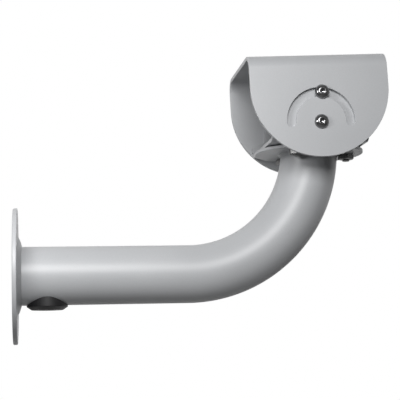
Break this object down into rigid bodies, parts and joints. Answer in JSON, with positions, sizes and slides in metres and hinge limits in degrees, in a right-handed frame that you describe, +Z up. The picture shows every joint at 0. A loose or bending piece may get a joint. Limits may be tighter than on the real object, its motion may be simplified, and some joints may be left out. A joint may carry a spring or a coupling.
{
  "type": "camera wall bracket",
  "caption": "Wall bracket for a surveillance camera: round plate, bent feed-through arm, and a folded saddle head that pans on a flange and tilts in curved slots.",
  "frame": {"origin": "centre of the wall plate's back face, where it meets the wall", "axes": "+X out from the wall along the arm, +Z up, +Y to the left of someone who stands with their back to the wall"},
  "size_m": [0.2845, 0.103, 0.2178],
  "materials": {
    "powder_coat": "fine matt powder coat, light grey",
    "stainless": "bright stainless steel",
    "rubber_plug": "matt black rubber",
    "nylon_ring": "matt black nylon"
  },
  "bodies": {
    "arm": {"wall_plate": "powder_coat", "base_weld": "powder_coat", "arm_tube": "powder_coat", "cable_plug": "rubber_plug", "flange_disc": "powder_coat", "flange_weld": "powder_coat", "pan_ring": "nylon_ring", "pan_bolt_1": "stainless", "pan_washer_1": "stainless", "pan_nut_1": "stainless", "pan_bolt_2": "stainless", "pan_washer_2": "stainless", "pan_nut_2": "stainless", "pan_bolt_3": "stainless", "pan_washer_3": "stainless", "pan_nut_3": "stainless"},
    "swivel": {"yoke": "powder_coat", "pivot_screw_near": "stainless", "pivot_nut_near": "stainless", "pivot_screw_far": "stainless", "pivot_nut_far": "stainless", "lock_screw_near": "stainless", "lock_nut_near": "stainless", "lock_screw_far": "stainless", "lock_nut_far": "stainless"},
    "head": {"saddle": "powder_coat"}
  },
  "joints": [
    {"name": "head_pan", "type": "hinge", "parent": "arm", "child": "swivel", "pos_m": [0.2313, 0, 0.0966], "axis": [0, 0, 1], "range_deg": [-40, 40]},
    {"name": "head_tilt", "type": "hinge", "parent": "swivel", "child": "head", "pos_m": [0.2313, 0, 0.1108], "axis": [0, 1, 0], "range_deg": [-80, 88]}
  ]
}
